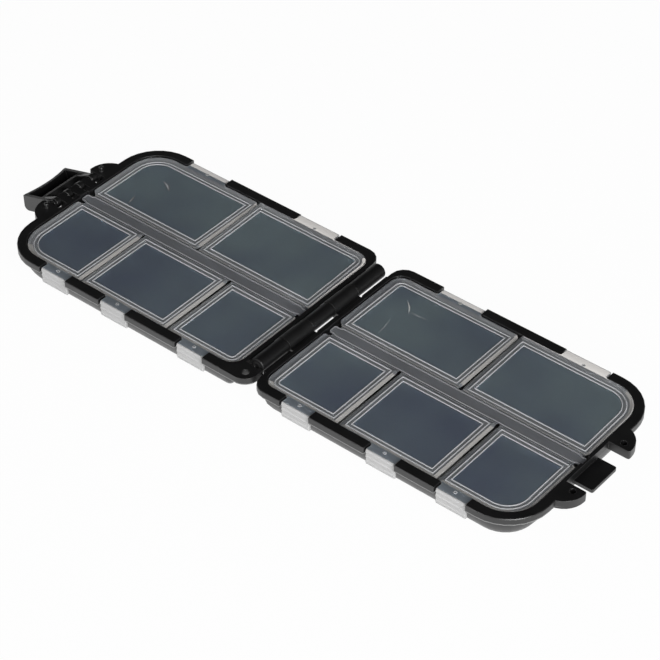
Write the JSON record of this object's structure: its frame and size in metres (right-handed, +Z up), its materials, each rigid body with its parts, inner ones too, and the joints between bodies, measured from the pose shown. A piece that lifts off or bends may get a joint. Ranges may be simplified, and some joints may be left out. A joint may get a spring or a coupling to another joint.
{
  "type": "terminal tackle box",
  "caption": "Pocket fishing tackle box lying open: two shallow hinged shells with rows of clear snap-lid compartments and a flip latch.",
  "frame": {"origin": "centre of the base shell's flat underside, on the table", "axes": "+X from the base shell across the hinge to the cover shell, along the open box; +Y along the hinge, from the row of three small lids to the row of two large ones; +Z up, out of the open shells"},
  "size_m": [0.3047, 0.0992, 0.0203],
  "materials": {
    "base_plastic": "black moulded plastic, satin with a very fine grain",
    "cover_plastic": "black moulded plastic, satin with a very fine grain",
    "latch_plastic": "black moulded plastic, satin",
    "lid_plastic": "milky translucent moulded plastic, smooth on the panels and frosted on the grip tabs",
    "pin_steel": "plain drawn wire"
  },
  "bodies": {
    "base": {"base_shell": "base_plastic", "base_lid_spine": "lid_plastic", "hinge_pin": "pin_steel", "latch_pin": "pin_steel"},
    "cover": {"cover_shell": "cover_plastic", "cover_lid_spine": "lid_plastic"},
    "latch": {"latch_lever": "latch_plastic"},
    "base_near_1": {"base_lid_near_1": "lid_plastic"},
    "base_near_2": {"base_lid_near_2": "lid_plastic"},
    "base_near_3": {"base_lid_near_3": "lid_plastic"},
    "base_far_1": {"base_lid_far_1": "lid_plastic"},
    "base_far_2": {"base_lid_far_2": "lid_plastic"},
    "cover_near_1": {"cover_lid_near_1": "lid_plastic"},
    "cover_near_2": {"cover_lid_near_2": "lid_plastic"},
    "cover_near_3": {"cover_lid_near_3": "lid_plastic"},
    "cover_far_1": {"cover_lid_far_1": "lid_plastic"},
    "cover_far_2": {"cover_lid_far_2": "lid_plastic"}
  },
  "joints": [
    {"name": "main_hinge", "type": "hinge", "parent": "base", "child": "cover", "pos_m": [0.07165, 0, 0.01715], "axis": [0, 1, 0], "range_deg": [-180, 0]},
    {"name": "latch_pivot", "type": "hinge", "parent": "base", "child": "latch", "pos_m": [-0.06935, 0, 0.0156], "axis": [0, 1, 0], "range_deg": [0, 106]},
    {"name": "base_near_1_fold", "type": "hinge", "parent": "base", "child": "base_near_1", "pos_m": [0.0452, -0.0038, 0.0157], "axis": [-1, 0, 0], "range_deg": [0, 93]},
    {"name": "base_near_2_fold", "type": "hinge", "parent": "base", "child": "base_near_2", "pos_m": [0.0012, -0.0038, 0.0157], "axis": [-1, 0, 0], "range_deg": [0, 93]},
    {"name": "base_near_3_fold", "type": "hinge", "parent": "base", "child": "base_near_3", "pos_m": [-0.0427, -0.0038, 0.0157], "axis": [-1, 0, 0], "range_deg": [0, 93]},
    {"name": "base_far_1_fold", "type": "hinge", "parent": "base", "child": "base_far_1", "pos_m": [0.0327, 0.0038, 0.0157], "axis": [1, 0, 0], "range_deg": [0, 93]},
    {"name": "base_far_2_fold", "type": "hinge", "parent": "base", "child": "base_far_2", "pos_m": [-0.0307, 0.0038, 0.0157], "axis": [1, 0, 0], "range_deg": [0, 93]},
    {"name": "cover_near_1_fold", "type": "hinge", "parent": "cover", "child": "cover_near_1", "pos_m": [0.0981, -0.0038, 0.0157], "axis": [-1, 0, 0], "range_deg": [0, 93]},
    {"name": "cover_near_2_fold", "type": "hinge", "parent": "cover", "child": "cover_near_2", "pos_m": [0.1421, -0.0038, 0.0157], "axis": [-1, 0, 0], "range_deg": [0, 93]},
    {"name": "cover_near_3_fold", "type": "hinge", "parent": "cover", "child": "cover_near_3", "pos_m": [0.186, -0.0038, 0.0157], "axis": [-1, 0, 0], "range_deg": [0, 93]},
    {"name": "cover_far_1_fold", "type": "hinge", "parent": "cover", "child": "cover_far_1", "pos_m": [0.1106, 0.0038, 0.0157], "axis": [1, 0, 0], "range_deg": [0, 93]},
    {"name": "cover_far_2_fold", "type": "hinge", "parent": "cover", "child": "cover_far_2", "pos_m": [0.174, 0.0038, 0.0157], "axis": [1, 0, 0], "range_deg": [0, 93]}
  ]
}
